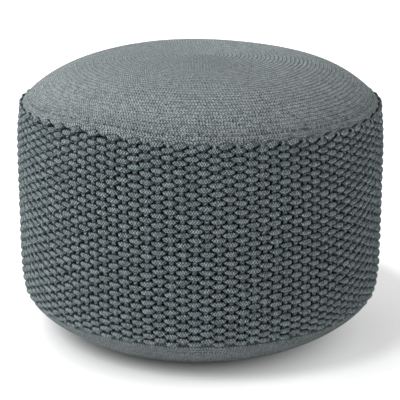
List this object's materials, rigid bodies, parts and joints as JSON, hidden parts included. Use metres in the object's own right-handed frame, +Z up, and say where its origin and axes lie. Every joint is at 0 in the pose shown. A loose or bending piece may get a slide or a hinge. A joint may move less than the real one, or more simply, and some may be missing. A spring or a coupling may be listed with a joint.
{
  "type": "woven cord pouf",
  "caption": "Round filled pouf with a woven cord side, a domed top cover wound in rounds of cord, and a base cover that turns in to a flat spot it rests on.",
  "frame": {"origin": "centre of the flat spot that the pouf rests on", "axes": "+Z up along the pouf's axis of symmetry"},
  "size_m": [0.507, 0.507, 0.382],
  "materials": {
    "woven_yarn": "matt slate-grey braided cord in a staggered plain weave, darker where the uprights show between",
    "stitched_cord": "matt slate-grey fine cord laid in rounds and cross-stitched"
  },
  "bodies": {
    "root": {"side_band": "woven_yarn", "top_cover": "stitched_cord", "base_cover": "stitched_cord"}
  },
  "joints": []
}
